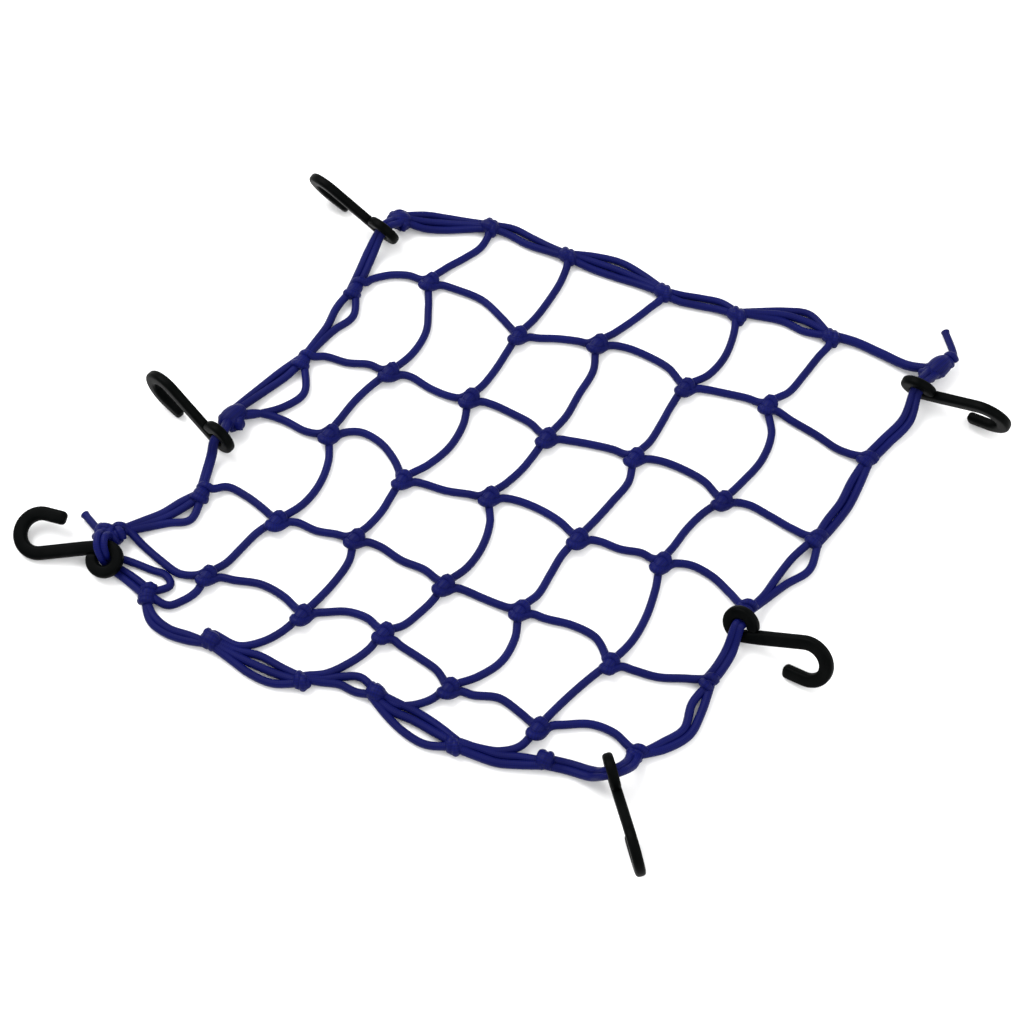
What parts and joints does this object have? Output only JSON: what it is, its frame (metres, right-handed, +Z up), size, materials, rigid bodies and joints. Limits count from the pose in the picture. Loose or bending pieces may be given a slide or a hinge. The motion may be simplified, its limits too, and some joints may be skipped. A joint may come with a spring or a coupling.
{
  "type": "luggage net",
  "caption": "Square knotted net of blue elastic cord with black moulded S-hooks round its border, lying loosely spread; holds luggage down on a rack.",
  "frame": {"origin": "on the floor under the net's middle knot, in the middle knot's flat underside", "axes": "+Z up from the floor the net lies on, +Y away from the net's near corner, +X to the right"},
  "size_m": [0.6591, 0.5147, 0.0379],
  "materials": {
    "elastic_cord": "braided sheath, matte with a soft sheen",
    "moulded_hook": "satin"
  },
  "bodies": {
    "root": {"net": "elastic_cord", "hook_far_left": "moulded_hook", "hook_left": "moulded_hook", "hook_near_left": "moulded_hook", "hook_near": "moulded_hook", "hook_right": "moulded_hook", "hook_far_right": "moulded_hook"}
  },
  "joints": []
}
